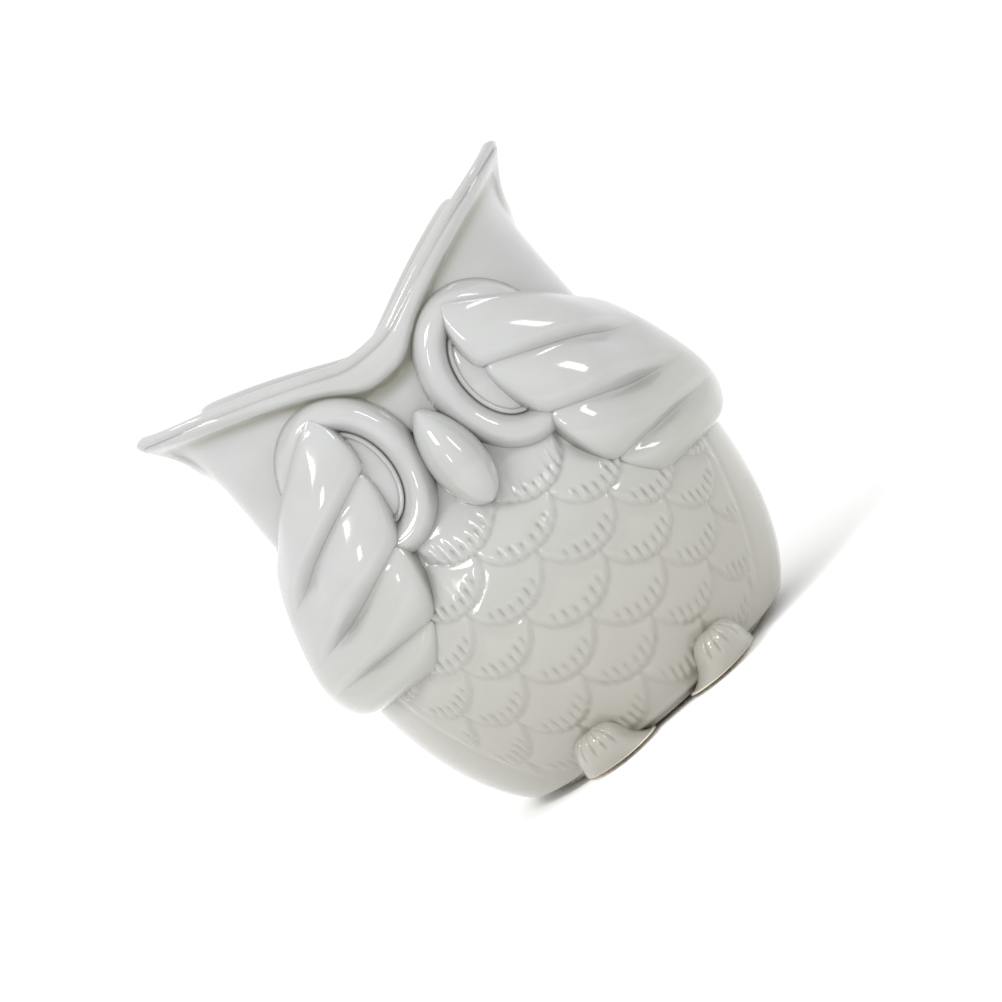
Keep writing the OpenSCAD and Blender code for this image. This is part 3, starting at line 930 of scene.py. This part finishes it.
class OWL_OT_pads(bpy.types.Operator):
    """Builds the four felt pads under the foot ring"""

    bl_idname = "owl.pads"
    bl_label = "Felt pads"

    def execute(self, context):
        felt = finish("pressed_wool_felt", lambda: pressed_felt(context.scene.owl_colours))
        for place in ("front_left", "front_right", "rear_left", "rear_right"):
            piece = closed_mesh(f"pad_{place}", pad_rings(f"felt_pad_{place}"))
            show(piece, f"felt_pad_{place}", felt)
        return {"FINISHED"}


# ---- Stage --------------------------------------------------------------------------------------


FLOOR_HALF = 4.0  # Half the floor's width, in metres
WORLD_STRENGTH = 1.06
LIT_MIDDLE = (0.0, 0.0, 0.05)
# Each soft box's name, place and size in metres, and power in watts
SOFT_BOXES = (
    ("key_box", (-0.35, -0.45, 0.62), (0.30, 0.22), 3.0),
    ("left_window", (-0.42, -0.72, 0.36), (0.10, 0.16), 0.7),
    ("right_window", (0.55, -0.42, 0.38), (0.14, 0.24), 1.0),
)


def soft_box(name, place, size, power_w):
    """A rectangular studio light, turned to the middle of the owl."""
    light = bpy.data.lights.new(name, "AREA")
    light.shape = "RECTANGLE"
    light.size, light.size_y = size
    light.energy = power_w
    lamp = bpy.data.objects.new(name, light)
    lamp.location = place
    lamp.rotation_euler = (Vector(LIT_MIDDLE) - Vector(place)).to_track_quat("-Z", "Y").to_euler()
    bpy.context.scene.collection.objects.link(lamp)


class OWL_OT_stage(bpy.types.Operator):
    """Builds the pale floor, the soft boxes and the camera"""

    bl_idname = "owl.stage"
    bl_label = "Stage"

    def execute(self, context):
        scene = context.scene
        stage = in_mm(scene.owl_stage)
        mesh = bpy.data.meshes.new("floor")
        corners = [(x * FLOOR_HALF, y * FLOOR_HALF, 0) for x, y in ((-1, -1), (1, -1), (1, 1), (-1, 1))]
        mesh.from_pydata(corners, [], [(0, 1, 2, 3)])
        floor = bpy.data.objects.new("floor", mesh)
        scene.collection.objects.link(floor)
        mesh.materials.append(pale_sweep(scene.owl_colours))
        world = bpy.data.worlds.new("studio")
        world.use_nodes = True
        sky = world.node_tree.nodes["Background"]
        sky.inputs["Color"].default_value = (1.0, 1.0, 1.0, 1.0)
        sky.inputs["Strength"].default_value = WORLD_STRENGTH
        scene.world = world
        scene.view_settings.view_transform = "Standard"
        for box in SOFT_BOXES:
            soft_box(*box)
        aim = Vector((stage.aim_x, 0, stage.aim_z)) * MM
        back = Vector((0, -math.cos(stage.elevation), math.sin(stage.elevation)))
        data = bpy.data.cameras.new("camera")
        data.sensor_width = 36.0
        data.lens = data.sensor_width * stage.distance / stage.view_w
        camera = bpy.data.objects.new("camera", data)
        turn = (-back).to_track_quat("-Z", "Y").to_matrix().to_4x4() @ Matrix.Rotation(-stage.roll, 4, "Z")
        camera.matrix_world = Matrix.Translation(aim + back * stage.distance * MM) @ turn
        data.clip_start, data.clip_end = 0.01, 50.0
        scene.collection.objects.link(camera)
        scene.camera = camera
        return {"FINISHED"}


class OWL_PT_panel(bpy.types.Panel):
    """Lists the owl's pieces and settings"""

    bl_idname = "OWL_PT_panel"
    bl_label = "Ceramic Owl"
    bl_space_type = "VIEW_3D"
    bl_region_type = "UI"
    bl_category = "Ceramic Owl"

    def draw(self, context):
        for operator in OPERATORS:
            self.layout.operator(operator.bl_idname)
        for name in SETTINGS:
            group = getattr(context.scene, name)
            box = self.layout.box()
            for key in group.__annotations__:
                box.prop(group, key)


SETTINGS = {
    "owl_body": OwlBodySizes,
    "owl_feathers": OwlFeatherSizes,
    "owl_colours": OwlColours,
    "owl_stage": OwlStageSizes,
}
OPERATORS = (OWL_OT_stage, OWL_OT_body, OWL_OT_eyes, OWL_OT_beak, OWL_OT_wings, OWL_OT_feet, OWL_OT_pads)


def register():
    for cls in (*SETTINGS.values(), *OPERATORS, OWL_PT_panel):
        bpy.utils.register_class(cls)
    for name, cls in SETTINGS.items():
        setattr(bpy.types.Scene, name, PointerProperty(type=cls))


def unregister():
    for name in SETTINGS:
        delattr(bpy.types.Scene, name)
    for cls in (OWL_PT_panel, *reversed(OPERATORS), *reversed(tuple(SETTINGS.values()))):
        bpy.utils.unregister_class(cls)


def main():
    register()
    bpy.ops.owl.stage()
    bpy.ops.owl.body()
    bpy.ops.owl.eyes()
    bpy.ops.owl.beak()
    bpy.ops.owl.wings()
    bpy.ops.owl.feet()
    bpy.ops.owl.pads()


if __name__ == "__main__":
    main()
